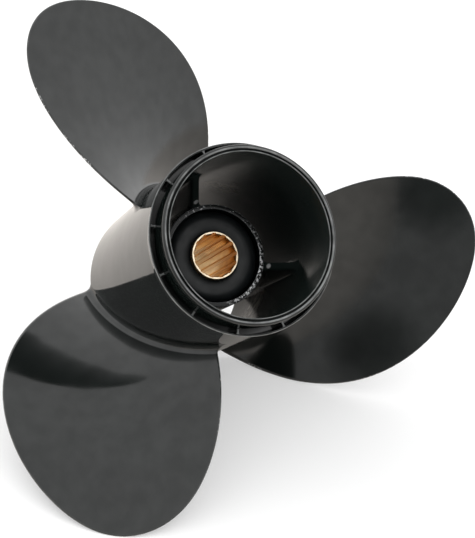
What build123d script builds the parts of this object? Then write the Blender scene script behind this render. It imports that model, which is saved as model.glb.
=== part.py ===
from build123d import *
from math import pi, cos, radians, sin, sqrt
import os

# Three-blade right-hand boat propeller with the exhaust through its hub.
# Frame: the shaft axis is Y, the exhaust outlet faces -Y (aft) and +Z is up.
# The origin is on the shaft axis, halfway along the splined bore. Millimetres.

# --- blades -------------------------------------------------------------------
BLADES = 3
TIP_RADIUS = 168.3            # 13 1/4 inch diameter
ROOT_RADIUS = 52.0            # outside of the hub barrel
PITCH = 401.0                 # advance in one turn
BLADE_STATION = -6.5          # Y of the generator line where it leaves the barrel
RAKE_SLOPE = 0.365            # aft lean of the generator line, per mm of radius
RAKE_CURVE = -0.00057         # the lean eases off towards the tip
ROOT_HALF_WIDTH = 37.5        # half of the blade's width along the helix, at the barrel
WIDTH_TERMS = (71.6, -27.1, -40.1)   # growth of that half width with span, span^2, span^3
TIP_FULLNESS = 8.2            # how squarely the outline closes at the tip
SKEW_ROOT = 10.2              # mid-line ahead of the generator line, at the barrel
SKEW_SLOPE = 4.2              # change of that lead with span
SKEW_SWEEP = -27.1            # sweep back of the mid-line, with span^4
ROOT_THICKNESS = 12.0
EDGE_THICKNESS = 2.2
EDGE_ROUND = 0.7
ROOT_FILLET = 5.0

# --- hub casting --------------------------------------------------------------
BARREL_FRONT = 49.0           # Y of the barrel's forward end, faced flush with the blades
BARREL_BORE = 45.0            # straight through the barrel and the tail tube
RING_EDGE = -90.3             # Y of the aft edge of the flared ring
RING_RADIUS = 53.3
RING_WALL = 1.2
FLARE_LENGTH = 6.5
POCKET_DEPTH = 9.0            # annular pocket between the ring and the tail tube
POCKET_DRAFT = 1.5
TAIL_EDGE = -102.0            # Y of the aft end of the tail tube
TAIL_RADIUS = 49.0
INNER_LIP = 0.5               # width of the thin inner lip
LIP_GAP = 1.3                 # width of the groove between the two lips
LIP_DEPTH = 1.5
LIP_ROUND = 0.6
RIBS = 12
RIB_THICKNESS = 1.2
RIB_SETBACK = 0.8             # the ribs stop this far inside the pocket's mouth
RIB_PHASE = 4.8               # degrees clockwise from +Z, seen from aft
INNER_HUB_RADIUS = 29.9
INNER_HUB_BORE = 27.2
INNER_HUB_AFT = -42.0
INNER_HUB_FRONT = 43.0
SPOKES = 3
SPOKE_THICKNESS = 6.0
SPOKE_PHASE = 9.0             # degrees clockwise from +Z, seen from aft
SPOKE_SETBACK = 1.5           # the spokes stop short of both ends of the inner hub
SPOKE_SWEEP = 18.0            # their aft edge runs this far aft on its way out to the barrel

# --- bush and sleeve ----------------------------------------------------------
SLEEVE_LENGTH = 84.0
SLEEVE_RADIUS = 14.0
SLEEVE_CHAMFER = 0.3
SPLINE_TEETH = 13
SPLINE_TIP_RADIUS = 12.2
SPLINE_ROOT_RADIUS = 13.2
GROOVE_SHARE = 0.42           # part of each spline pitch taken by the groove
MOUTH_RADIUS = 12.8           # the teeth are bevelled off at both ends of the bore
MOUTH_DEPTH = 0.9
BUSH_LENGTH = 81.0
BUSH_ROUND = 4.5
FIT_CLEARANCE = 0.04          # radial, between parts that turn in each other

POCKET_FLOOR = RING_EDGE + POCKET_DEPTH
SHAFT = Axis.Y


def spun(points):
    """Solid of revolution round the shaft from a closed outline of (radius, y) points."""
    return revolve(make_face(Polyline(*points, close=True)), SHAFT)


def tube(outer, inner, aft, front):
    """Plain tube on the shaft axis between two Y stations."""
    return spun([(inner, aft), (outer, aft), (outer, front), (inner, front)])


def round_ends(shape, size):
    """Round off the circular edges at both ends of a tube."""
    ends = shape.faces().filter_by(Axis.Y)
    return fillet(ends.edges(), size)


def clocked(shape, degrees):
    """Turn a shape clockwise about the shaft, as seen from aft."""
    return shape.rotate(SHAFT, degrees)


# --- blades -------------------------------------------------------------------
def half_width(span):
    """Half of the blade's width before its outline closes at the tip."""
    slope, square, cube = WIDTH_TERMS
    return ROOT_HALF_WIDTH + slope * span + square * span**2 + cube * span**3


def mid_line(span):
    return SKEW_ROOT + SKEW_SLOPE * span + SKEW_SWEEP * span**4


def radius_at(span):
    return ROOT_RADIUS + span * (TIP_RADIUS - ROOT_RADIUS)


def helix_point(span, arc, lift=0.0):
    """Point on the raked helix; arc is mm round the shaft from the generator line."""
    radius = radius_at(span)
    angle = arc / radius
    out = radius - ROOT_RADIUS
    rake = RAKE_SLOPE * out + RAKE_CURVE * out**2
    y = BLADE_STATION + PITCH * angle / (2 * pi) - rake + lift
    return (radius * sin(angle), y, radius * cos(angle))


def axial_thickness(span, across):
    """Blade thickness measured along Y; across runs from -1 to 1 over the width."""
    crown = (ROOT_THICKNESS - EDGE_THICKNESS) * (1 - min(max(span, 0.0), 1.0))
    square_on = EDGE_THICKNESS + crown * (1 - across**2)
    return square_on * sqrt(1 + (PITCH / (2 * pi * radius_at(span))) ** 2)


def blade_sheet(side):
    """Pressure face (side 0) or suction face (side 1), a little larger than the blade."""
    rows = []
    for i in range(17):
        span = -0.08 + 1.12 * i / 16
        row = []
        for j in range(13):
            across = -1.1 + 2.2 * j / 12
            arc = mid_line(span) + across * half_width(span)
            lift = side * axial_thickness(span, across) - axial_thickness(span, 1.0) / 2
            row.append(helix_point(span, arc, lift))
        rows.append(row)
    return Face.make_surface_from_array_of_points(rows, tol=0.02)


def outline_point(span, side):
    """Point of the blade's outline, seen along the shaft."""
    closing = sqrt(1 - max(span, 0.0) ** TIP_FULLNESS)
    x, _, z = helix_point(span, mid_line(span) + side * closing * half_width(span))
    return (x, 0, z)


def blade_outline():
    spans = [-0.05, 0.08, 0.21, 0.34, 0.47, 0.60, 0.72, 0.82]
    spans += [sin(radians(a)) ** (2 / TIP_FULLNESS) for a in (42, 57, 71)]
    trailing = [outline_point(s, -1) for s in spans]
    leading = [outline_point(s, 1) for s in reversed(spans)]
    curve = Spline(*trailing, outline_point(1.0, 0), *leading)
    return make_face([curve, Line(leading[-1], trailing[0])])


def off_barrel(point):
    """Distance of a point from the barrel's outside."""
    return abs(Vector(point.X, 0, point.Z).length - ROOT_RADIUS)


def make_blade():
    """One blade with rounded edges and root fillet, cut to sit on the barrel."""
    prism = extrude(blade_outline(), 150, dir=(0, 1, 0), both=True)
    ahead = extrude(blade_sheet(0), 90, dir=(0, 1, 0))
    behind = extrude(blade_sheet(1), 90, dir=(0, -1, 0))
    blade = prism & ahead & behind
    outer_edges = [e for e in blade.edges() if e.length > 20 and off_barrel(e @ 0.5) > 3]
    blade = fillet(outer_edges, EDGE_ROUND)

    barrel = tube(ROOT_RADIUS, ROOT_RADIUS - 9, -80, 80)
    rooted = barrel + blade
    root_edges = [
        e for e in rooted.edges().filter_by(GeomType.BSPLINE)
        if max(off_barrel(e @ t) for t in (0, 0.3, 0.5, 0.8, 1)) < 0.05
    ]
    rooted = fillet(root_edges, ROOT_FILLET)
    inside = tube(ROOT_RADIUS, 20, -100, 100)
    forward = tube(2 * TIP_RADIUS, 20, BARREL_FRONT, 120)
    return rooted - inside - forward


# --- hub casting --------------------------------------------------------------
def make_barrel():
    barrel = tube(ROOT_RADIUS, BARREL_BORE, POCKET_FLOOR, BARREL_FRONT)
    front = barrel.faces().filter_by(Axis.Y).sort_by(Axis.Y)[-1]
    return chamfer(front.edges().sort_by(SortBy.LENGTH)[:1], 0.8)


def make_ring():
    """Thin flared ring round the aft end of the barrel."""
    flare = RING_EDGE + FLARE_LENGTH
    mouth = RING_RADIUS - RING_WALL
    return spun([
        (mouth - POCKET_DRAFT, POCKET_FLOOR),
        (ROOT_RADIUS, POCKET_FLOOR),
        (ROOT_RADIUS, flare),
        (RING_RADIUS - 0.1, RING_EDGE + 0.6),
        (RING_RADIUS - 0.4, RING_EDGE),
        (mouth + 0.2, RING_EDGE),
        (mouth, RING_EDGE + 0.3),
    ])


def make_tail():
    """Tail tube with a thin inner lip, a groove and a rounded outer lip."""
    groove_in = BARREL_BORE + INNER_LIP
    groove_out = groove_in + LIP_GAP
    corners = [
        (BARREL_BORE, POCKET_FLOOR),
        (TAIL_RADIUS, POCKET_FLOOR),
        (TAIL_RADIUS, TAIL_EDGE),
        (groove_out, TAIL_EDGE),
        (groove_out, TAIL_EDGE + LIP_DEPTH),
        (groove_in, TAIL_EDGE + LIP_DEPTH),
        (groove_in, TAIL_EDGE),
        (BARREL_BORE, TAIL_EDGE),
    ]
    outline = make_face(Polyline(*corners, close=True))
    lip = outline.vertices().sort_by_distance(Vector(*corners[2]))[0]
    outline = fillet(lip, LIP_ROUND)
    lip = outline.vertices().sort_by_distance(Vector(*corners[3]))[0]
    outline = fillet(lip, LIP_ROUND)
    return revolve(outline, SHAFT)


def make_ribs():
    """Small radial ribs standing in the annular pocket."""
    mouth = RING_RADIUS - RING_WALL
    top = RING_EDGE + RIB_SETBACK
    wall_at_top = mouth - POCKET_DRAFT * (RIB_SETBACK - 0.3) / (POCKET_DEPTH - 0.3)
    pocket = spun([
        (TAIL_RADIUS, POCKET_FLOOR),
        (mouth - POCKET_DRAFT, POCKET_FLOOR),
        (wall_at_top, top),
        (TAIL_RADIUS, top),
    ])
    blank = Pos(0, POCKET_FLOOR, TAIL_RADIUS) * Box(RIB_THICKNESS, 3 * POCKET_DEPTH, 12)
    turn = 360 / RIBS
    ribs = [pocket & clocked(blank, RIB_PHASE + turn * i) for i in range(RIBS)]
    return Compound([solid for rib in ribs for solid in rib.solids()])


def make_inner_hub():
    hub = tube(INNER_HUB_RADIUS, INNER_HUB_BORE, INNER_HUB_AFT, INNER_HUB_FRONT)
    return round_ends(hub, 0.5)


def make_spoke(degrees):
    """Web between the inner hub and the barrel; its rounded aft edge leans aft."""
    aft = INNER_HUB_AFT + SPOKE_SETBACK
    front = INNER_HUB_FRONT - SPOKE_SETBACK
    gap = tube(BARREL_BORE, INNER_HUB_RADIUS, aft - 2 * SPOKE_SWEEP, front)
    lean = SPOKE_SWEEP / (BARREL_BORE - INNER_HUB_RADIUS)
    root = INNER_HUB_RADIUS - 3
    top = BARREL_BORE + 3
    side = Polyline(
        (0, aft + 3 * lean, root),
        (0, aft - (top - INNER_HUB_RADIUS) * lean, top),
        (0, front, top),
        (0, front, root),
        close=True,
    )
    blank = extrude(make_face(side), SPOKE_THICKNESS / 2, dir=(1, 0, 0), both=True)
    nose = blank.faces().sort_by(Axis.Y)[0]
    blank = fillet(nose.edges().filter_by(Axis.X, reverse=True), 0.4 * SPOKE_THICKNESS)
    return clocked(gap & blank, degrees)


# --- bush and sleeve ----------------------------------------------------------
def make_bush():
    """Rubber bush between the sleeve and the inner hub, its face pillowed at the rim."""
    outer = INNER_HUB_BORE - FIT_CLEARANCE
    inner = SLEEVE_RADIUS + FIT_CLEARANCE
    bush = tube(outer, inner, -BUSH_LENGTH / 2, BUSH_LENGTH / 2)
    rims = [e for e in bush.edges().filter_by(GeomType.CIRCLE) if e.radius > inner + 1]
    return fillet(rims, BUSH_ROUND)


def make_sleeve():
    """Brass sleeve with spline grooves cut in its bore."""
    end = SLEEVE_LENGTH / 2
    sleeve = tube(SLEEVE_RADIUS, SPLINE_TIP_RADIUS, -end, end)
    rims = [e for e in sleeve.edges().filter_by(GeomType.CIRCLE) if e.radius > SLEEVE_RADIUS - 0.1]
    sleeve = chamfer(rims, SLEEVE_CHAMFER)
    pitch = 2 * pi * SPLINE_ROOT_RADIUS / SPLINE_TEETH
    bottom = GROOVE_SHARE * pitch
    depth = SPLINE_ROOT_RADIUS - SPLINE_TIP_RADIUS
    groove = Plane.XZ * Pos(0, SPLINE_ROOT_RADIUS - depth, 0) * Trapezoid(
        bottom + 1.2 * depth, 2 * depth, 106.7, align=(Align.CENTER, Align.CENTER)
    )
    cutter = extrude(groove, SLEEVE_LENGTH, both=True)
    turn = 360 / SPLINE_TEETH
    for i in range(SPLINE_TEETH):
        sleeve -= clocked(cutter, turn * i)
    for aft in (-1, 1):
        sleeve -= spun([
            (0, aft * (end + 1)),
            (MOUTH_RADIUS, aft * (end + 1)),
            (MOUTH_RADIUS, aft * end),
            (SPLINE_TIP_RADIUS, aft * (end - MOUTH_DEPTH)),
            (0, aft * (end - MOUTH_DEPTH)),
        ])
    return sleeve


nodes = {
    "hub_barrel": make_barrel(),
    "flared_ring": make_ring(),
    "tail_tube": make_tail(),
    "pocket_ribs": make_ribs(),
    "inner_hub": make_inner_hub(),
    "rubber_bush": make_bush(),
    "splined_sleeve": make_sleeve(),
}
for i in range(SPOKES):
    nodes[f"spoke_{i + 1}"] = make_spoke(SPOKE_PHASE + 360 * i / SPOKES)
blade = make_blade()
for i in range(BLADES):
    nodes[f"blade_{i + 1}"] = clocked(blade, 360 * i / BLADES)

os.makedirs("parts", exist_ok=True)
for name, shape in nodes.items():
    export_step(shape, f"parts/{name}.step")
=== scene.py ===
"""Boat propeller: smooth skins with paint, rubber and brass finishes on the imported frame."""

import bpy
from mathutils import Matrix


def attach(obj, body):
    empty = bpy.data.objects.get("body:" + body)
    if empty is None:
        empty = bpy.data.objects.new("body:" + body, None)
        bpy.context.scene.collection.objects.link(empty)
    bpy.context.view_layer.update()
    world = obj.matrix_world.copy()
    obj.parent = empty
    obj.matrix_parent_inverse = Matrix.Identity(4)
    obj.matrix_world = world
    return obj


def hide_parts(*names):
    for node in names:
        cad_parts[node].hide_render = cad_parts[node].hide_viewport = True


bl_info = {
    "name": "Boat Propeller",
    "version": (1, 0, 0),
    "blender": (4, 5, 0),
    "location": "3D View > Sidebar > Propeller",
    "description": "Builds a three-blade outboard propeller with its bush and splined sleeve",
    "category": "Add Mesh",
}

from math import pi, radians

import bmesh
import bpy
import numpy as np
from bpy.props import FloatProperty, FloatVectorProperty, IntProperty, PointerProperty
from mathutils import Matrix

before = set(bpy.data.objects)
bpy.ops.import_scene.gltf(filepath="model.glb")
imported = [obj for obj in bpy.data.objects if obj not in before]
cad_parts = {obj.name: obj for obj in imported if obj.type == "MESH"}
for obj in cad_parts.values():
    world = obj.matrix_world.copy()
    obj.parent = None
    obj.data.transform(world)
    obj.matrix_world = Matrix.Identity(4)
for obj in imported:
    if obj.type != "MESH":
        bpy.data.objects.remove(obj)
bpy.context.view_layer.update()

MM = 0.001
TURN = 2 * pi
BLADES = 3
ROUND_STEPS = 320              # steps round the casting's tubes


# ------------------------------------------------------------------------------
# Sizes and colours
# ------------------------------------------------------------------------------
def length(name, description, default_mm):
    return FloatProperty(
        name=name, description=description, default=default_mm * MM, unit="LENGTH", precision=5
    )


def colour(name, description, default):
    return FloatVectorProperty(
        name=name, description=description, default=default, subtype="COLOR", size=3, min=0, max=1
    )


class BladeSizes(bpy.types.PropertyGroup):
    tip_radius: length("Tip radius", "Half of the propeller's diameter", 168.28)
    root_radius: length("Root radius", "Outside of the hub barrel", 52.0)
    pitch: length("Pitch", "Advance in one turn", 401.0)
    station: length("Station", "Place along the shaft of the blade's generator line", -6.5)
    rake_slope: FloatProperty(name="Rake", description="Aft lean per unit of radius", default=0.365)
    rake_curve: FloatProperty(
        name="Rake curve", description="Easing of the lean, per metre of radius", default=-0.57
    )
    half_width: length("Half width", "Half of the blade's width at the barrel", 37.5)
    skew_root: length("Skew", "Lead of the mid-line at the barrel", 10.2)
    skew_slope: length("Skew slope", "Change of the lead over the span", 4.2)
    skew_sweep: length("Sweep", "Sweep back of the mid-line at the tip", -27.1)
    tip_fullness: FloatProperty(
        name="Tip fullness", description="How squarely the outline closes", default=8.2
    )
    root_thickness: length("Root thickness", "Thickness of the blade at the barrel", 12.0)
    edge_thickness: length("Edge thickness", "Thickness of the blade near its edges", 2.2)
    fillet: length("Root fillet", "Radius between the blade and the barrel", 5.0)
    front: length("Front", "Plane that faces off the blade roots and the barrel", 48.999)


class HubSizes(bpy.types.PropertyGroup):
    barrel_bore: length("Barrel bore", "Inner radius of the barrel and the tail tube", 45.0)
    ring_radius: length("Ring radius", "Outer radius of the flared ring", 53.3)
    ring_edge: length("Ring edge", "Place of the ring's aft edge", -90.3)
    ring_wall: length("Ring wall", "Thickness of the ring at its edge", 1.2)
    flare: length("Flare", "Length of the ring's flare", 6.5)
    pocket_depth: length("Pocket depth", "Depth of the pocket inside the ring", 9.0)
    tail_radius: length("Tail radius", "Outer radius of the tail tube", 49.0)
    tail_edge: length("Tail edge", "Place of the tail tube's aft end", -102.0)
    inner_radius: length("Inner hub radius", "Outer radius of the inner hub", 29.9)
    inner_bore: length("Inner hub bore", "Inner radius of the inner hub", 27.2)
    inner_aft: length("Inner hub aft end", "Place of the inner hub's aft end", -42.0)
    inner_front: length("Inner hub front", "Place of the inner hub's forward end", 43.0)
    ribs: IntProperty(name="Ribs", description="Ribs in the pocket", default=12, min=1)
    rib_phase: FloatProperty(
        name="Rib phase", description="Turn of the first rib", default=radians(4.8), subtype="ANGLE"
    )
    spokes: IntProperty(name="Spokes", description="Spokes round the inner hub", default=3, min=1)
    spoke_phase: FloatProperty(
        name="Spoke phase", description="Turn of the first spoke", default=radians(9), subtype="ANGLE"
    )
    spoke_thickness: length("Spoke thickness", "Thickness of a spoke", 6.0)
    spoke_sweep: length("Spoke sweep", "Aft lean of a spoke's aft edge on its way out", 18.0)


class CoreSizes(bpy.types.PropertyGroup):
    sleeve_length: length("Sleeve length", "Length of the splined sleeve", 84.0)
    sleeve_radius: length("Sleeve radius", "Outer radius of the sleeve", 14.0)
    teeth: IntProperty(name="Teeth", description="Spline teeth in the sleeve", default=13, min=3)
    tooth_tip: length("Tooth tip radius", "Radius over the tips of the teeth", 12.2)
    tooth_root: length("Tooth root radius", "Radius at the bottom of the grooves", 13.2)
    mouth_radius: length("Mouth radius", "Radius of the bevel at the bore's ends", 12.8)
    mouth_depth: length("Mouth depth", "Length of the bevel at the bore's ends", 0.9)
    bush_length: length("Bush length", "Length of the rubber bush", 81.0)


class Finishes(bpy.types.PropertyGroup):
    paint: colour("Paint", "Gloss black paint of the casting", (0.0034, 0.0048, 0.0044))
    bare_metal: colour("Bare metal", "Aluminium where the paint has gone", (0.80, 0.81, 0.82))
    rubber: colour("Rubber", "Bush rubber", (0.0075, 0.0092, 0.0100))
    brass: colour("Brass", "Machined brass of the sleeve", (0.98, 0.69, 0.33))
    floor: colour("Floor", "Pale studio floor", (0.62, 0.62, 0.62))


# ------------------------------------------------------------------------------
# Mesh helpers
# ------------------------------------------------------------------------------
def grid_quads(rows, columns, close_rows=False, close_columns=False):
    """Corner numbers of the quads of a rows x columns grid of points."""
    r = np.arange(rows if close_rows else rows - 1)
    c = np.arange(columns if close_columns else columns - 1)
    r, c = (a.ravel() for a in np.meshgrid(r, c, indexing="ij"))
    r2, c2 = (r + 1) % rows, (c + 1) % columns
    return np.stack([r * columns + c, r * columns + c2, r2 * columns + c2, r2 * columns + c], 1)


def face_off(work, front):
    """Cut away whatever lies ahead of a plane across the shaft, and close the cut."""
    geometry = [*work.verts, *work.edges, *work.faces]
    cut = bmesh.ops.bisect_plane(
        work, geom=geometry, dist=1e-7, plane_co=(0, front, 0), plane_no=(0, 1, 0), clear_outer=True
    )
    rim = [e for e in cut["geom_cut"] if isinstance(e, bmesh.types.BMEdge)]
    bmesh.ops.triangle_fill(work, use_beauty=True, edges=rim)


def make_piece(name, points, quads, material, body, stands_for, edge=None, front=None):
    """Mesh object from point and quad arrays, welded, smooth-shaded and given to its body."""
    mesh = bpy.data.meshes.new(name)
    mesh.vertices.add(len(points))
    mesh.vertices.foreach_set("co", np.asarray(points, np.float32).ravel())
    mesh.loops.add(quads.size)
    mesh.loops.foreach_set("vertex_index", np.asarray(quads, np.int32).ravel())
    mesh.polygons.add(len(quads))
    mesh.polygons.foreach_set("loop_start", np.arange(0, quads.size, 4, dtype=np.int32))
    mesh.polygons.foreach_set("loop_total", np.full(len(quads), 4, np.int32))
    mesh.update(calc_edges=True)
    if edge is not None:
        mesh.attributes.new("edge", "FLOAT", "POINT").data.foreach_set("value", edge.astype(np.float32))
    work = bmesh.new()
    work.from_mesh(mesh)
    bmesh.ops.remove_doubles(work, verts=work.verts, dist=1e-6)
    bmesh.ops.dissolve_degenerate(work, edges=work.edges, dist=1e-7)
    if front is not None:
        face_off(work, front)
    bmesh.ops.recalc_face_normals(work, faces=work.faces)
    work.to_mesh(mesh)
    work.free()
    mesh.shade_smooth()
    mesh.set_sharp_from_angle(angle=radians(38))
    mesh.materials.append(material)
    piece = bpy.data.objects.new(name, mesh)
    bpy.context.scene.collection.objects.link(piece)
    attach(piece, body)
    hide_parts(*stands_for)
    return piece


def rounded_outline(corners, steps=6):
    """Closed outline whose corners (radius, y, rounding) become arcs tangent to both sides."""
    count = len(corners)
    outline = []
    for i, (r, y, rounding) in enumerate(corners):
        here = np.array([r, y])
        to_last = np.array(corners[i - 1][:2]) - here
        to_next = np.array(corners[(i + 1) % count][:2]) - here
        to_last /= np.linalg.norm(to_last)
        to_next /= np.linalg.norm(to_next)
        if rounding == 0:
            outline.append(here[None])
            continue
        half = 0.5 * np.arccos(np.clip(to_last @ to_next, -1, 1))
        inward = (to_last + to_next) / np.linalg.norm(to_last + to_next)
        centre = here + inward * rounding / np.sin(half)
        start = here + to_last * rounding / np.tan(half) - centre
        across = here + to_next * rounding / np.tan(half) - centre
        sweep = pi - 2 * half
        t = np.linspace(0, 1, steps + 1)[:, None]
        arc = (np.sin((1 - t) * sweep) * start + np.sin(t * sweep) * across) / np.sin(sweep)
        outline.append(centre + arc)
    return np.concatenate(outline)


def add_supports(outline, gap=0.25 * MM):
    """Put a point just inside each end of every long side, so that its shading stays flat."""
    after = np.roll(outline, -1, axis=0)
    side = after - outline
    size = np.linalg.norm(side, axis=1, keepdims=True)
    long_side = (size > 6 * gap).ravel()
    step = side / np.maximum(size, 1e-9) * gap
    trio = np.stack([outline, outline + step, after - step], 1)
    keep = np.stack([np.ones(len(outline), bool), long_side, long_side], 1)
    return trio[keep]


def spin(outline, count=256):
    """Surface of revolution round Y of a closed (radius, y) outline, as points and quads."""
    angle = np.linspace(0, TURN, count, endpoint=False)[:, None]
    r, y = outline[None, :, 0], outline[None, :, 1]
    points = np.stack([r * np.sin(angle), y + 0 * angle, r * np.cos(angle)], -1)
    quads = grid_quads(count, len(outline), True, True)
    return points.reshape(-1, 3), quads


def turned(points, angle):
    """Points turned about Y, clockwise as seen from aft."""
    c, s = np.cos(angle), np.sin(angle)
    return points @ np.array([[c, 0, -s], [0, 1, 0], [s, 0, c]])


def joined(parts):
    """Several (points, quads) pairs as one pair."""
    starts = np.cumsum([0] + [len(p) for p, _ in parts[:-1]])
    points = np.concatenate([p for p, _ in parts])
    quads = np.concatenate([q + s for (_, q), s in zip(parts, starts)])
    return points, quads


def fillet_rise(distance, radius):
    """Height of a quarter-round fillet above a wall at this distance from its foot."""
    reach = np.clip(1 - distance / radius, 0, 1)
    return radius * (1 - np.sqrt(1 - reach**2))


# ------------------------------------------------------------------------------
# Blade
# ------------------------------------------------------------------------------
WIDTH_TERMS = (71.6 * MM, -27.1 * MM, -40.1 * MM)   # half width's growth: span, square, cube
SHOULDER = 0.86                # span at which the outline starts to round over into the tip
EDGE_BAND = 1.2 * MM           # width of the marked band inside the outline


def blade_shape(s, rows=110, columns=128):
    """One blade as a closed skin.

    The pressure face is a helix surface: going round by an angle moves a point forward by
    pitch x angle / full turn, less a rake that grows with radius.  The width at each radius
    is a cubic in span times the square root of (1 - span to the tip fullness), and the
    thickness is a parabola across the width that thins towards the tip.  Both faces close
    on the outline in a half round, and both stand off by a quarter-round near the barrel.
    The third array is 1 on the outline and falls to 0 a little inside it.
    """
    reach = s.tip_radius - s.root_radius
    sink = 1.5 * MM
    inner = np.linspace(-sink / reach, s.fillet / reach, 26)[:-1]
    body = np.linspace(s.fillet / reach, SHOULDER, 40)[:-1]
    start = np.arcsin(SHOULDER ** (s.tip_fullness / 2))
    left = rows - len(inner) - len(body)
    tip = np.sin(np.linspace(start, pi / 2, left)) ** (2 / s.tip_fullness)
    span = np.concatenate([inner, body, tip])[:, None]
    round_the_width = np.linspace(0, pi, columns)[None, :]

    along = np.clip(span, 0, 1)
    radius = s.root_radius + span * reach
    out = np.maximum(radius - s.root_radius, 0)
    rise = fillet_rise(out, s.fillet)
    slope, square, cube = WIDTH_TERMS
    width = s.half_width + slope * span + square * span**2 + cube * span**3
    closing = np.sqrt(np.clip(1 - along**s.tip_fullness, 0, 1))
    across = np.cos(round_the_width)
    arc = s.skew_root + s.skew_slope * span + s.skew_sweep * along**4
    arc = arc + across * (closing * width + rise)
    angle = arc / radius
    rake = s.rake_slope * out + s.rake_curve * out**2
    y = s.station + s.pitch * angle / TURN - rake

    ratio = across * closing
    inside = 1 - along**s.tip_fullness - ratio**2
    slope_out = s.tip_fullness * along ** (s.tip_fullness - 1) / reach
    slope_across = 2 * ratio / (width + rise)
    edge = s.edge_thickness / 2 + rise
    depth = inside / np.sqrt(slope_out**2 + slope_across**2 + 1e-9)
    rounding = np.sqrt(np.clip(1 - np.clip(1 - depth / edge, 0, 1) ** 2, 0, 1))

    axial = np.sqrt(1 + (s.pitch / (TURN * radius)) ** 2)
    crown = (s.root_thickness - s.edge_thickness) * (1 - along) * (1 - ratio**2)
    aft = y - rounding * edge * axial
    fore = y + rounding * (edge + crown) * axial
    sheets = []
    for depth_y in (aft, fore):
        sheets.append(np.stack([radius * np.sin(angle), depth_y, radius * np.cos(angle)], -1))
    loop = np.concatenate([sheets[0], sheets[1][:, ::-1]], 1)
    count = loop.shape[1]
    quads = grid_quads(len(span), count, False, True)
    cap = np.arange(columns - 1)
    root = np.stack([cap, cap + 1, count - 2 - cap, count - 1 - cap], 1)
    near = np.clip(1 - depth / EDGE_BAND, 0, 1) * (out > s.fillet)
    near = np.concatenate([near, near[:, ::-1]], 1)
    return loop.reshape(-1, 3), np.concatenate([quads, root]), near.ravel()


# ------------------------------------------------------------------------------
# Hub casting
# ------------------------------------------------------------------------------
INNER_LIP = 0.5 * MM           # width of the thin inner lip at the tail's end
LIP_GAP = 1.3 * MM             # width of the groove between the two lips
LIP_DEPTH = 1.6 * MM
POCKET_DRAFT = 1.5 * MM        # the ring's inner wall leans out by this over the pocket's depth


def barrel_outline(b, h):
    """Barrel section, with both rims of its forward end rounded."""
    floor = h.ring_edge + h.pocket_depth
    return rounded_outline([
        (h.barrel_bore, floor, 0),
        (b.root_radius, floor, 0),
        (b.root_radius, b.front, 0.9 * MM),
        (h.barrel_bore, b.front, 0.9 * MM),
    ])


def ring_outline(b, h):
    """Ring section: a wall that leans out from the barrel to a thin rounded edge."""
    floor = h.ring_edge + h.pocket_depth
    mouth = h.ring_radius - h.ring_wall
    return rounded_outline([
        (mouth - POCKET_DRAFT, floor, 0),
        (b.root_radius, floor, 0),
        (b.root_radius, h.ring_edge + h.flare, 4 * MM),
        (h.ring_radius, h.ring_edge, 0.6 * MM),
        (mouth, h.ring_edge, 0.6 * MM),
    ])


def tail_outline(h):
    """Tail tube section: thin inner lip, groove with sloped sides, and rounded outer lip."""
    floor = h.ring_edge + h.pocket_depth
    groove_in = h.barrel_bore + INNER_LIP
    groove_out = groove_in + LIP_GAP
    bottom = h.tail_edge + LIP_DEPTH
    slope = 0.1 * MM
    return rounded_outline([
        (h.barrel_bore, floor, 0),
        (h.tail_radius, floor, 0),
        (h.tail_radius, h.tail_edge, 1.1 * MM),
        (groove_out, h.tail_edge, 0.6 * MM),
        (groove_out - slope, bottom, 0.3 * MM),
        (groove_in + slope, bottom, 0.3 * MM),
        (groove_in, h.tail_edge, 0.24 * MM),
        (h.barrel_bore, h.tail_edge, 0.24 * MM),
    ])


def web_shape(inner, outer, half, aft, front, fillet, nose, sweep=0.0, rows=60, columns=48):
    """Flat web standing out from the shaft between two radii, thickened by a quarter-round
    fillet at both ends.  Its section is a straight-sided loop with rounded corners, and its
    aft edge runs aft in proportion to radius, by the sweep in all."""
    sink = 0.8 * MM
    t = np.linspace(0, 1, rows)
    r = inner - sink + (outer - inner + 2 * sink) * t
    rise = fillet_rise(np.maximum(r - inner, 0), fillet)
    rise = rise + fillet_rise(np.maximum(outer - r, 0), fillet)
    turn = np.linspace(0, TURN, columns, endpoint=False)[None, :]
    c, s = np.cos(turn), np.sin(turn)
    squareness = 0.35
    x = (half + rise[:, None]) * np.sign(c) * np.abs(c) ** squareness
    aft = aft - sweep * (r[:, None] - inner) / (outer - inner)
    middle, reach = (aft + front) / 2, (front - aft) / 2
    square = np.sign(s) * np.abs(s) ** squareness
    y = middle + square * (reach - nose) + s * nose
    y = y + 0 * x
    height = np.broadcast_to(r[:, None], x.shape)
    z = np.sqrt(np.maximum(height**2 - x**2, 0))
    points = np.stack([x, y, z], -1)
    quads = grid_quads(rows, columns, False, True)
    half_count = columns // 2
    k = np.arange(half_count - 1)
    ring = np.stack([k, k + 1, columns - 2 - k, columns - 1 - k], 1)
    ends = [ring, ring + (rows - 1) * columns]
    return points.reshape(-1, 3), np.concatenate([quads, *ends])


# ------------------------------------------------------------------------------
# Bush and sleeve
# ------------------------------------------------------------------------------
def bush_outline(h, c):
    """Bush section: each end face is a pillow, highest half-way out, that dips a little at
    the sleeve as a square law and falls to its outer rim as a rounded shoulder."""
    gap = 0.05 * MM
    outer, inner = h.inner_bore - gap, c.sleeve_radius + gap
    half = c.bush_length / 2
    t = np.linspace(0, 1, 30)
    r = inner + (outer - inner) * t
    dip, drop, inset = 1.5 * MM, 6.5 * MM, 0.2 * MM
    near_sleeve = 1 - np.clip(t / 0.45, 0, 1)
    near_rim = np.clip((t - 0.5) / 0.5, 0, 1)
    face = half - inset - dip * near_sleeve**2 - drop * (1 - np.sqrt(1 - near_rim**2.4))
    fore = np.stack([r, face], 1)
    aft = np.stack([r[::-1], -face[::-1]], 1)
    return np.concatenate([fore, aft])


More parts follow.
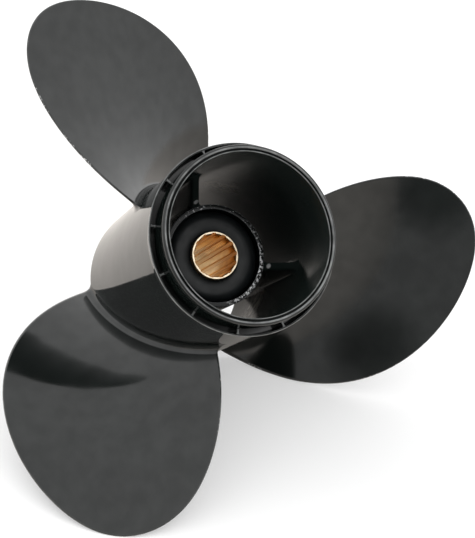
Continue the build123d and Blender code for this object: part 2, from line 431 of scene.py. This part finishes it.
def sleeve_shape(c, steps_per_tooth=28):
    """Splined tube.  The bore radius swings between tooth tip and groove bottom as a clipped
    cosine of (teeth x angle); a cone bevels the teeth off at both ends."""
    count = c.teeth * steps_per_tooth
    angle = np.linspace(0, TURN, count, endpoint=False)[:, None]
    flank, groove_start = 1.9, 0.25
    wave = np.clip(0.5 + flank * (np.cos(c.teeth * angle) - groove_start), 0, 1)
    bore = c.tooth_tip + (c.tooth_root - c.tooth_tip) * wave
    end, cut = c.sleeve_length / 2, 0.3 * MM
    out = c.sleeve_radius + 0 * angle
    rings = [(out - cut, -end), (out, -end + cut), (out, end - cut), (out - cut, end)]
    bevel = np.linspace(0, 1, 4)
    middle = np.linspace(1, -1, 9)[1:-1] * (end - c.mouth_depth)
    depths = np.concatenate([bevel, 1 + 0 * middle, bevel[::-1]])
    places = np.concatenate([end - bevel * c.mouth_depth, middle, bevel[::-1] * c.mouth_depth - end])
    for depth, place in zip(depths, places):
        cone = c.mouth_radius + (c.tooth_tip - c.mouth_radius) * depth
        rings.append((np.maximum(bore, cone), place))
    r = np.concatenate([ring for ring, _ in rings], 1)
    y = np.array([place for _, place in rings])[None, :] + 0 * angle
    points = np.stack([r * np.sin(angle), y, r * np.cos(angle)], -1)
    return points.reshape(-1, 3), grid_quads(count, len(rings), True, True)


# ------------------------------------------------------------------------------
# Materials
# ------------------------------------------------------------------------------
class Tree:
    """Short-hand for building a node tree from Object coordinates."""

    def __init__(self, name):
        self.material = bpy.data.materials.new(name)
        self.material.use_nodes = True
        self.tree = self.material.node_tree
        self.shader = self.tree.nodes["Principled BSDF"]
        self.place = self.add("ShaderNodeTexCoord").outputs["Object"]

    def add(self, kind, **values):
        node = self.tree.nodes.new(kind)
        for key, value in values.items():
            setattr(node, key, value)
        return node

    def link(self, source, target):
        self.tree.links.new(source, target)

    def noise(self, scale, detail=3.0, stretch=None):
        node = self.add("ShaderNodeTexNoise")
        node.inputs["Scale"].default_value = scale
        node.inputs["Detail"].default_value = detail
        place = self.place
        if stretch:
            mapping = self.add("ShaderNodeMapping")
            mapping.inputs["Scale"].default_value = stretch
            self.link(place, mapping.inputs["Vector"])
            place = mapping.outputs["Vector"]
        self.link(place, node.inputs["Vector"])
        return node.outputs["Fac"]

    def remap(self, source, low, high, start=0.0, end=1.0):
        node = self.add("ShaderNodeMapRange")
        for key, value in zip(("From Min", "From Max", "To Min", "To Max"), (start, end, low, high)):
            node.inputs[key].default_value = value
        self.link(source, node.inputs["Value"])
        return node.outputs["Result"]

    def rising(self, source, start, end):
        """0 below start, 1 above end."""
        return self.remap(source, 0, 1, start, end)

    def falling(self, source, start, end):
        """1 below start, 0 above end."""
        return self.remap(source, 1, 0, start, end)

    def both(self, a, b):
        return self.maths("MULTIPLY", a, b)

    def either(self, a, b):
        return self.maths("MAXIMUM", a, b)

    def maths(self, operation, a, b):
        node = self.add("ShaderNodeMath", operation=operation)
        for socket, value in zip(node.inputs, (a, b)):
            if isinstance(value, (int, float)):
                socket.default_value = value
            else:
                self.link(value, socket)
        return node.outputs["Value"]

    def mix(self, factor, a, b):
        node = self.add("ShaderNodeMix", data_type="RGBA")
        self.link(factor, node.inputs["Factor"])
        for socket, value in ((node.inputs[6], a), (node.inputs[7], b)):
            if isinstance(value, tuple):
                socket.default_value = (*value, 1)
            else:
                self.link(value, socket)
        return node.outputs[2]

    def where(self):
        """X, Y, Z and distance from the shaft."""
        node = self.add("ShaderNodeSeparateXYZ")
        self.link(self.place, node.inputs["Vector"])
        x, y, z = node.outputs
        square = self.maths("ADD", self.maths("MULTIPLY", x, x), self.maths("MULTIPLY", z, z))
        return x, y, z, self.maths("POWER", square, 0.5)

    def spot(self, centre, inner, outer):
        """1 within the inner distance of a point, falling to 0 at the outer one."""
        node = self.add("ShaderNodeVectorMath", operation="DISTANCE")
        self.link(self.place, node.inputs[0])
        node.inputs[1].default_value = tuple(centre)
        return self.remap(node.outputs["Value"], 1, 0, inner, outer)

    def bump(self, *layers):
        """Stack height layers, each (source, height in metres)."""
        normal = None
        for source, height in layers:
            node = self.add("ShaderNodeBump")
            node.inputs["Distance"].default_value = height
            node.inputs["Strength"].default_value = 1.0
            self.link(source, node.inputs["Height"])
            if normal is not None:
                self.link(normal, node.inputs["Normal"])
            normal = node.outputs["Normal"]
        self.link(normal, self.shader.inputs["Normal"])

    def set(self, **values):
        for key, value in values.items():
            self.shader.inputs[key.replace("_", " ")].default_value = value


PAINTED_LIGHT_PATCHES = (   # painted reflections of light on the bore's wall: place, inner and outer reach, colour painted
    ((0.026, -0.030, 0.0367), 0.004, 0.019, (0.10, 0.088, 0.066)),
    ((0.0215, 0.006, -0.0395), 0.005, 0.016, (0.80, 0.76, 0.67)),
)
RIM_HIGHLIGHT_AND_RUB = (0.30, 0.31, 0.31)     # grey along rims, lips and rib tops as painted highlights, and along the blade edges as rubbed paint
# Spokes that get a bare-metal spot at their base as a painted glint.
GLINT_SPOKES = 2


def gloss_paint(finish):
    """Sprayed black paint: glossy outside, a thin dull coat in the bore with painted reflections
    of light on its wall, painted highlights in grey along the ring, lips and rib tops, rubbed
    grey along the blade edges, knocked off in specks along the blade edges, bare-metal spots
    at two spokes as painted glints, and less reflection in the lip groove as painted shade."""
    t = Tree("gloss_black_paint")
    hub = bpy.context.scene.hub_sizes
    base = tuple(finish.paint)
    _, y, _, radius = t.where()
    patches = t.remap(t.noise(28, 4), 0, 1, 0.35, 0.7)
    tint = t.mix(patches, base, tuple(1.7 * v for v in base))

    inside = t.falling(radius, hub.barrel_bore + 0.1 * MM, hub.barrel_bore + 0.6 * MM)
    tint = t.mix(inside, tint, tuple(3.4 * v for v in base))
    streaks = t.remap(t.noise(190, 5), 0.15, 1, 0.35, 0.65)
    # Pale streaked patches on the bore's wall: painted reflections of light.
    for place, inner, outer, painted_light in PAINTED_LIGHT_PATCHES:
        thin = t.both(t.both(t.spot(place, inner, outer), streaks), inside)
        tint = t.mix(thin, tint, painted_light)

    # Thin grey on the ring's edge and the rib tops: painted highlights.
    mouth = hub.ring_radius - hub.ring_wall
    rib_tops = t.both(
        t.rising(radius, hub.tail_radius + 0.2 * MM, hub.tail_radius + 0.5 * MM),
        t.falling(radius, mouth + 0.1 * MM, mouth + 0.3 * MM),
    )
    ring = t.either(rib_tops, t.rising(radius, mouth + 0.5 * MM, mouth + 0.8 * MM))
    ring = t.both(t.falling(y, hub.ring_edge + 0.9 * MM, hub.ring_edge + 1.4 * MM), ring)

    groove_in = hub.barrel_bore + INNER_LIP
    groove_out = groove_in + LIP_GAP
    # Thin grey on the crests of the tail's two lips: painted highlights.
    outer_lip = t.both(
        t.rising(radius, groove_out - 0.1 * MM, groove_out),
        t.falling(radius, groove_out + 0.8 * MM, groove_out + 1.1 * MM),
    )
    lips = t.either(outer_lip, t.falling(radius, groove_in, groove_in + 0.1 * MM))
    lips = t.both(t.falling(y, hub.tail_edge + 0.3 * MM, hub.tail_edge + 0.8 * MM), lips)

    edge = t.add("ShaderNodeAttribute", attribute_name="edge").outputs["Fac"]
    # Grey mixed in: painted highlights on ring, lips and rib tops, rubbed paint along the blade edges.
    rims = t.either(t.either(ring, lips), t.both(edge, 0.35))
    rims = t.both(rims, t.remap(t.noise(150, 4), 0.25, 0.7, 0.35, 0.65))
    tint = t.mix(rims, tint, RIM_HIGHLIGHT_AND_RUB)

    areas = t.rising(t.noise(30, 2), 0.56, 0.62)
    specks = t.both(t.rising(t.noise(800, 3), 0.56, 0.62), areas)
    chips_and_glints = t.both(t.rising(edge, 0.35, 0.6), specks)
    # Bare-metal spots at the bases of these spokes: painted glints.
    for i in range(GLINT_SPOKES):
        angle = hub.spoke_phase + TURN * i / hub.spokes
        reach = hub.inner_radius + 2.4 * MM
        glint_spot = (reach * np.sin(angle), hub.inner_aft - 1.4 * MM, reach * np.cos(angle))
        chips_and_glints = t.either(chips_and_glints, t.spot(glint_spot, 1.0 * MM, 1.7 * MM))
    t.link(t.mix(chips_and_glints, tint, tuple(finish.bare_metal)), t.shader.inputs["Base Color"])
    t.link(chips_and_glints, t.shader.inputs["Metallic"])

    haze = t.remap(t.noise(60, 5), 0.06, 0.12, 0.3, 0.7)
    haze = t.maths("ADD", haze, t.both(inside, 0.10))
    t.link(t.maths("ADD", haze, t.both(chips_and_glints, 0.35)), t.shader.inputs["Roughness"])
    cloud = t.remap(t.noise(110, 6), 0.46, 0.54, 0.35, 0.65)
    # Less reflection in the groove between the tail's lips: painted shade. In the bore it is the dull
    # coat.
    groove = t.both(
        t.rising(radius, groove_in, groove_in + 0.2 * MM),
        t.falling(radius, groove_out - 0.2 * MM, groove_out),
    )
    groove = t.both(groove, t.falling(y, hub.tail_edge + 6 * MM, hub.tail_edge + 7 * MM))
    cloud = t.both(cloud, t.remap(t.either(inside, groove), 1.0, 0.17))
    t.link(cloud, t.shader.inputs["Specular IOR Level"])
    t.bump((t.noise(26, 2), 0.0002), (t.noise(420, 3), 0.000001))
    t.set(IOR=1.52)
    return t.material


def chipped_paint(finish):
    """The same paint, worn to bright metal along the aft rim of the inner hub, with painted highlights
    in grey along both edges of that rim.
    """
    t = Tree("chipped_paint")
    hub = bpy.context.scene.hub_sizes
    base = tuple(finish.paint)
    x, y, z, radius = t.where()
    rim = t.falling(y, hub.inner_aft + 0.1 * MM, hub.inner_aft + 0.8 * MM)
    side = t.both(rim, t.rising(x, -0.012, 0.006))
    low = t.falling(z, -0.020, 0.012)
    dense = t.both(t.both(side, low), t.rising(t.noise(620, 5), 0.50, 0.58))
    sparse = t.both(side, t.rising(t.noise(900, 3), 0.64, 0.69))
    worn = t.either(dense, sparse)
    # Grey along the rim's two rounded edges: painted highlights.
    outline = t.either(
        t.falling(radius, hub.inner_bore + 0.3 * MM, hub.inner_bore + 0.6 * MM),
        t.rising(radius, hub.inner_radius - 0.6 * MM, hub.inner_radius - 0.3 * MM),
    )
    rim_edge_highlight = t.mix(t.both(rim, outline), base, (0.09, 0.094, 0.098))
    t.link(t.mix(worn, rim_edge_highlight, tuple(finish.bare_metal)), t.shader.inputs["Base Color"])
    t.link(worn, t.shader.inputs["Metallic"])
    t.link(t.remap(worn, 0.2, 0.45), t.shader.inputs["Roughness"])
    t.set(Specular_IOR_Level=0.3)
    t.bump((t.noise(700, 4), 0.00006))
    return t.material


def bush_rubber(finish):
    """Moulded rubber: blue-grey bloom, fine grain and a soft satin highlight."""
    t = Tree("bush_rubber")
    base = tuple(finish.rubber)
    bloom = tuple(1.7 * v for v in base)
    patches = t.remap(t.noise(90, 5), 0, 1, 0.35, 0.7)
    t.link(t.mix(patches, base, bloom), t.shader.inputs["Base Color"])
    t.link(t.remap(t.noise(240, 3), 0.34, 0.48, 0.3, 0.7), t.shader.inputs["Roughness"])
    t.bump((t.noise(1300, 3), 0.00003), (t.noise(120, 2), 0.00010))
    t.set(Specular_IOR_Level=0.36)
    return t.material


def machined_brass(finish):
    """Broached brass: streaks along the shaft, brown tarnish, painted shade in darker brown down the
    spline grooves, and a bright faced end.
    """
    t = Tree("machined_brass")
    base = tuple(finish.brass)
    core = bpy.context.scene.core_sizes
    tarnish_and_shade_brown = tuple(v * k for v, k in zip(base, (0.68, 0.54, 0.38)))
    fresh_cut = (0.98, 0.83, 0.62)
    streak = t.noise(900, 3, (1, 0.02, 1))
    tarnish = t.rising(t.noise(160, 4, (1, 0.35, 1)), 0.42, 0.64)
    _, y, _, radius = t.where()
    # Darker brown down the spline grooves: painted shade between the teeth.
    groove = t.remap(radius, 0, 0.85, core.tooth_tip + 0.3 * MM, core.tooth_root - 0.1 * MM)
    groove = t.both(groove, t.falling(radius, core.tooth_root, core.tooth_root + 0.2 * MM))
    wall = t.mix(t.either(t.both(tarnish, 0.8), groove), base, tarnish_and_shade_brown)
    end = -core.sleeve_length / 2
    end_face = t.falling(y, end + 0.1 * MM, end + 0.5 * MM)
    t.link(t.mix(end_face, wall, fresh_cut), t.shader.inputs["Base Color"])
    t.set(Metallic=1.0)
    rough = t.remap(streak, 0.22, 0.42, 0.3, 0.7)
    t.link(rough, t.shader.inputs["Roughness"])
    t.bump((streak, 0.00003))
    return t.material


def under_front():
    """Place on the floor just ahead of the barrel's front, in the floor's own axes."""
    right, away = floor_axes()
    ahead = AHEAD_OF_BARREL - AIM
    return (ahead @ right, ahead @ away, 0)


def studio_floor(finish):
    """Pale floor with a painted glow where it is looked at, which lifts its shadows, and warm in what
    it bounces back: darker towards the camera's side, with a painted shadow in a spot ahead of the
    barrel.

    It shows from above only, and fades into the backdrop towards its edge.
    """
    t = Tree("studio_floor")
    tree, shader = t.tree, t.shader
    warm_near, warm_far, shaded = (0.62, 0.59, 0.56), (0.90, 0.85, 0.80), (0.50, 0.47, 0.44)
    seen = t.add("ShaderNodeLightPath").outputs["Is Camera Ray"]
    place = t.add("ShaderNodeSeparateXYZ")
    t.link(t.place, place.inputs["Vector"])
    # What the floor bounces darkens towards the camera's side; the spot ahead of the barrel is a
    # painted shadow.
    bounce = t.mix(t.rising(place.outputs["Y"], -0.9, -0.2), warm_near, warm_far)
    bounce = t.mix(t.spot(under_front(), 0.05, 0.11), bounce, shaded)
    t.link(t.mix(seen, bounce, tuple(finish.floor)), shader.inputs["Base Color"])
    t.set(Roughness=1.0, Specular_IOR_Level=0.0, Emission_Color=(1, 1, 1, 1))
    # Emission for camera rays only: a painted glow that lifts the floor's shadows.
    t.link(t.both(seen, FLOOR_GLOW), shader.inputs["Emission Strength"])
    away = t.add("ShaderNodeVectorMath", operation="LENGTH")
    t.link(t.place, away.inputs[0])
    clear = t.add("ShaderNodeBsdfTransparent")
    fade = t.rising(away.outputs["Value"], FLOOR_FADE, FLOOR_RADIUS - 0.1)
    back = t.add("ShaderNodeNewGeometry").outputs["Backfacing"]
    hide = t.either(fade, back)
    blend = t.add("ShaderNodeMixShader")
    t.link(hide, blend.inputs[0])
    t.link(shader.outputs[0], blend.inputs[1])
    t.link(clear.outputs[0], blend.inputs[2])
    t.link(blend.outputs[0], tree.nodes["Material Output"].inputs["Surface"])
    return t.material


# ------------------------------------------------------------------------------
# Operators
# ------------------------------------------------------------------------------
def shared(name, maker):
    """A material by name, made on first use."""
    return bpy.data.materials.get(name) or maker(bpy.context.scene.finishes)


class PROPELLER_OT_blades(bpy.types.Operator):
    """Build the three blades with their root fillets"""

    bl_idname = "propeller.blades"
    bl_label = "Blades"

    def execute(self, context):
        paint = shared("gloss_black_paint", gloss_paint)
        sizes = context.scene.blade_sizes
        points, quads, edge = blade_shape(sizes)
        for i in range(BLADES):
            make_piece(
                f"blade_skin_{i + 1}", turned(points, TURN * i / BLADES), quads,
                paint, "wheel", [f"blade_{i + 1}"], edge, sizes.front,
            )
        return {"FINISHED"}


class PROPELLER_OT_hub(bpy.types.Operator):
    """Build the barrel, flared ring and tail tube"""

    bl_idname = "propeller.hub"
    bl_label = "Hub tubes"

    def execute(self, context):
        b, h = context.scene.blade_sizes, context.scene.hub_sizes
        paint = shared("gloss_black_paint", gloss_paint)
        outlines = {
            "hub_barrel": barrel_outline(b, h),
            "flared_ring": ring_outline(b, h),
            "tail_tube": tail_outline(h),
        }
        for node, outline in outlines.items():
            points, quads = spin(add_supports(outline), ROUND_STEPS)
            make_piece(node + "_skin", points, quads, paint, "wheel", [node])
        return {"FINISHED"}


class PROPELLER_OT_inner_hub(bpy.types.Operator):
    """Build the inner hub with its chipped aft rim"""

    bl_idname = "propeller.inner_hub"
    bl_label = "Inner hub"

    def execute(self, context):
        h = context.scene.hub_sizes
        outline = rounded_outline([
            (h.inner_bore, h.inner_aft, 0.6 * MM),
            (h.inner_bore, h.inner_front, 0.6 * MM),
            (h.inner_radius, h.inner_front, 0.6 * MM),
            (h.inner_radius, h.inner_aft, 0.6 * MM),
        ])
        points, quads = spin(add_supports(outline), ROUND_STEPS)
        make_piece(
            "inner_hub_skin", points, quads, shared("chipped_paint", chipped_paint),
            "wheel", ["inner_hub"],
        )
        return {"FINISHED"}


class PROPELLER_OT_spokes(bpy.types.Operator):
    """Build the spokes between the inner hub and the barrel"""

    bl_idname = "propeller.spokes"
    bl_label = "Spokes"

    def execute(self, context):
        h = context.scene.hub_sizes
        paint = shared("gloss_black_paint", gloss_paint)
        inset = 1.5 * MM
        points, quads = web_shape(
            h.inner_radius, h.barrel_bore, h.spoke_thickness / 2,
            h.inner_aft + inset, h.inner_front - inset,
            fillet=3 * MM, nose=2 * MM, sweep=h.spoke_sweep,
        )
        for i in range(h.spokes):
            angle = h.spoke_phase + TURN * i / h.spokes
            make_piece(
                f"spoke_skin_{i + 1}", turned(points, angle), quads,
                paint, "wheel", [f"spoke_{i + 1}"],
            )
        return {"FINISHED"}


class PROPELLER_OT_ribs(bpy.types.Operator):
    """Build the small ribs in the pocket between ring and tail tube"""

    bl_idname = "propeller.ribs"
    bl_label = "Pocket ribs"

    def execute(self, context):
        h = context.scene.hub_sizes
        floor = h.ring_edge + h.pocket_depth
        outer = h.ring_radius - h.ring_wall - POCKET_DRAFT
        half, inset, sink = 0.6 * MM, 0.8 * MM, 0.5 * MM
        points, quads = web_shape(
            h.tail_radius, outer, half, h.ring_edge + inset, floor + sink,
            fillet=0.8 * MM, nose=0.4 * MM, rows=24, columns=24,
        )
        reach = np.clip((points[:, 2] - h.tail_radius) / (outer - h.tail_radius), 0, 1)
        aft = np.clip((floor - points[:, 1]) / h.pocket_depth, 0, 1)
        points[:, 2] += reach * aft * POCKET_DRAFT
        turns = [h.rib_phase + TURN * i / h.ribs for i in range(h.ribs)]
        points, quads = joined([(turned(points, a), quads) for a in turns])
        make_piece(
            "pocket_ribs_skin", points, quads, shared("gloss_black_paint", gloss_paint),
            "wheel", ["pocket_ribs"],
        )
        return {"FINISHED"}


class PROPELLER_OT_bush(bpy.types.Operator):
    """Build the rubber bush"""

    bl_idname = "propeller.bush"
    bl_label = "Rubber bush"

    def execute(self, context):
        outline = bush_outline(context.scene.hub_sizes, context.scene.core_sizes)
        points, quads = spin(add_supports(outline))
        make_piece(
            "rubber_bush_skin", points, quads, shared("bush_rubber", bush_rubber),
            "bush", ["rubber_bush"],
        )
        return {"FINISHED"}


class PROPELLER_OT_sleeve(bpy.types.Operator):
    """Build the splined brass sleeve"""

    bl_idname = "propeller.sleeve"
    bl_label = "Splined sleeve"

    def execute(self, context):
        points, quads = sleeve_shape(context.scene.core_sizes)
        make_piece(
            "splined_sleeve_skin", points, quads, shared("machined_brass", machined_brass),
            "sleeve", ["splined_sleeve"],
        )
        return {"FINISHED"}


# The propeller lies on two blades and its hub, so the floor is tilted in its frame.
FLOOR_UP = np.array([0.26587, -0.67966, 0.68365])
FLOOR_DROP = 71.4 * MM         # from the frame's origin down to the floor
FLOOR_RADIUS = 2.2
FLOOR_FADE = 1.3               # where the floor starts to fade into the backdrop
# Strength of the floor's painted glow for camera rays.
FLOOR_GLOW = 0.38
AHEAD_OF_BARREL = np.array([0.03, 0.105, 0])
AIM = np.array([0.01041, -0.03562, -0.01312])      # point the camera looks at
CAMERA_TURN = radians(-22.376)
CAMERA_LIFT = radians(0.534)
CAMERA_ROLL = radians(-29.201)
CAMERA_DISTANCE = 0.71889
CAMERA_LENS = 82.92
TENT_BRIGHT = 1.35             # light from all round
TENT_FRONT = 0.72              # light from the camera's side
TENT_CARD = 0.3                # what a dark card leaves of it
CARDS = ((143, 3, 2, 11), (180, 11, 2, 14))   # bearing, height angle, inner and outer degrees
KEY_LIGHT = {"turn": -75, "lift": 50, "distance": 1.6, "width": 1.2, "height": 1.2, "power": 4}


def camera_axes():
    """Right, up and back directions of the camera."""
    a, e, r = CAMERA_TURN, CAMERA_LIFT, CAMERA_ROLL
    back = np.array([np.sin(a) * np.cos(e), -np.cos(a) * np.cos(e), np.sin(e)])
    level = np.array([np.cos(a), np.sin(a), 0])
    over = np.cross(back, level)
    right = np.cos(r) * level + np.sin(r) * over
    up = -np.sin(r) * level + np.cos(r) * over
    return right, up, back


def floor_axes():
    """Directions on the floor: to the right of the camera, and away from it."""
    _, _, back = camera_axes()
    away = -back + (back @ FLOOR_UP) * FLOOR_UP
    away /= np.linalg.norm(away)
    return np.cross(away, FLOOR_UP), away


def basis(right, up, back, place):
    """Matrix that stands an object's own axes along three directions, at a place."""
    matrix = Matrix.Identity(4)
    for column, axis in enumerate((right, up, back, place)):
        for row in range(3):
            matrix[row][column] = axis[row]
    return matrix


def softbox(name, turn, lift, distance, width, height, power):
    """Rectangular soft light, placed by its bearing and height angle above the floor."""
    toward = bearing(turn, lift)
    light = bpy.data.lights.new(name, "AREA")
    light.shape, light.size, light.size_y, light.energy = "RECTANGLE", width, height, power
    lamp = bpy.data.objects.new(name, light)
    side = np.cross(FLOOR_UP, toward)
    side /= np.linalg.norm(side)
    up = np.cross(toward, side)
    lamp.matrix_world = basis(side, up, toward, AIM + toward * distance)
    bpy.context.scene.collection.objects.link(lamp)
    return lamp


def bearing(turn, lift):
    """Direction at a bearing from the camera's far side and a height angle above the floor."""
    right, away = floor_axes()
    turn, lift = radians(turn), radians(lift)
    level = np.cos(turn) * away + np.sin(turn) * right
    return np.cos(lift) * level + np.sin(lift) * FLOOR_UP


def light_tent(tree):
    """White light from all round, dimmer towards the camera, with two dark cards there."""
    nodes, links = tree.nodes, tree.links
    direction = nodes.new("ShaderNodeTexCoord").outputs["Generated"]

    def facing(axis, start, end, low, high):
        dot = nodes.new("ShaderNodeVectorMath")
        dot.operation = "DOT_PRODUCT"
        dot.inputs[1].default_value = tuple(axis)
        links.new(direction, dot.inputs[0])
        level = nodes.new("ShaderNodeMapRange")
        level.interpolation_type = "SMOOTHSTEP"
        for key, value in zip(("From Min", "From Max", "To Min", "To Max"), (start, end, low, high)):
            level.inputs[key].default_value = value
        links.new(dot.outputs["Value"], level.inputs["Value"])
        return level.outputs["Result"]

    def combined(operation, a, b):
        node = nodes.new("ShaderNodeMath")
        node.operation = operation
        links.new(a, node.inputs[0])
        links.new(b, node.inputs[1])
        return node.outputs["Value"]

    strength = facing(bearing(180, 0), 0.45, 0.78, TENT_BRIGHT, TENT_FRONT)
    for turn, lift, inner, outer in CARDS:
        card = facing(bearing(turn, lift), np.cos(radians(outer)), np.cos(radians(inner)), 1, TENT_CARD)
        strength = combined("MULTIPLY", strength, card)
    seen = nodes.new("ShaderNodeLightPath").outputs["Is Camera Ray"]
    strength = combined("MAXIMUM", strength, seen)
    background = nodes["Background"]
    background.inputs["Color"].default_value = (1, 1, 1, 1)
    links.new(strength, background.inputs["Strength"])


class PROPELLER_OT_stage(bpy.types.Operator):
    """Build the floor, light tent, softbox and camera"""

    bl_idname = "propeller.stage"
    bl_label = "Stage"

    def execute(self, context):
        scene = context.scene
        right, away = floor_axes()
        rings, sides = 12, 48
        radius = np.linspace(0, FLOOR_RADIUS, rings)[:, None]
        angle = np.linspace(0, TURN, sides, endpoint=False)[None, :]
        flat = radius * np.cos(angle), radius * np.sin(angle)
        points = np.stack([*flat, 0 * flat[0]], -1).reshape(-1, 3)
        mesh = bpy.data.meshes.new("floor")
        quads = grid_quads(rings, sides, False, True)[:, ::-1]
        mesh.from_pydata(points.tolist(), [], quads.tolist())
        mesh.materials.append(shared("studio_floor", studio_floor))
        floor = bpy.data.objects.new("floor", mesh)
        foot = AIM - FLOOR_UP * (AIM @ FLOOR_UP + FLOOR_DROP)
        floor.matrix_world = basis(right, away, FLOOR_UP, foot)
        scene.collection.objects.link(floor)
        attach(floor, "wheel")   # the casting is what lies on the floor

        key = softbox("key_softbox", **KEY_LIGHT)
        key.visible_glossy = False

        world = bpy.data.worlds.new("studio")
        scene.world = world
        world.use_nodes = True
        light_tent(world.node_tree)

        camera = bpy.data.cameras.new("camera")
        camera.lens, camera.sensor_width = CAMERA_LENS, 36
        camera.clip_start, camera.clip_end = 0.01, 20
        viewer = bpy.data.objects.new("camera", camera)
        right, up, back = camera_axes()
        viewer.matrix_world = basis(right, up, back, AIM + back * CAMERA_DISTANCE)
        scene.collection.objects.link(viewer)
        scene.camera = viewer
        scene.view_settings.view_transform = "Standard"
        return {"FINISHED"}


OPERATORS = (
    PROPELLER_OT_blades,
    PROPELLER_OT_hub,
    PROPELLER_OT_inner_hub,
    PROPELLER_OT_spokes,
    PROPELLER_OT_ribs,
    PROPELLER_OT_bush,
    PROPELLER_OT_sleeve,
    PROPELLER_OT_stage,
)


class PROPELLER_PT_panel(bpy.types.Panel):
    """Sizes, finishes and the buttons that build each piece"""

    bl_label = "Boat Propeller"
    bl_idname = "PROPELLER_PT_panel"
    bl_space_type = "VIEW_3D"
    bl_region_type = "UI"
    bl_category = "Propeller"

    def draw(self, context):
        for operator in OPERATORS:
            self.layout.operator(operator.bl_idname)
        for group in SETTINGS:
            box = self.layout.box()
            settings = getattr(context.scene, group)
            for key in SETTINGS[group].__annotations__:
                box.prop(settings, key)


SETTINGS = {
    "blade_sizes": BladeSizes,
    "hub_sizes": HubSizes,
    "core_sizes": CoreSizes,
    "finishes": Finishes,
}


def register():
    for group in SETTINGS.values():
        bpy.utils.register_class(group)
    for name, group in SETTINGS.items():
        setattr(bpy.types.Scene, name, PointerProperty(type=group))
    for operator in OPERATORS:
        bpy.utils.register_class(operator)
    bpy.utils.register_class(PROPELLER_PT_panel)


def unregister():
    bpy.utils.unregister_class(PROPELLER_PT_panel)
    for operator in reversed(OPERATORS):
        bpy.utils.unregister_class(operator)
    for name in SETTINGS:
        delattr(bpy.types.Scene, name)
    for group in reversed(SETTINGS.values()):
        bpy.utils.unregister_class(group)


def main():
    register()
    for operator in OPERATORS:
        family, action = operator.bl_idname.split(".")
        getattr(getattr(bpy.ops, family), action)()


if __name__ == "__main__":
    main()
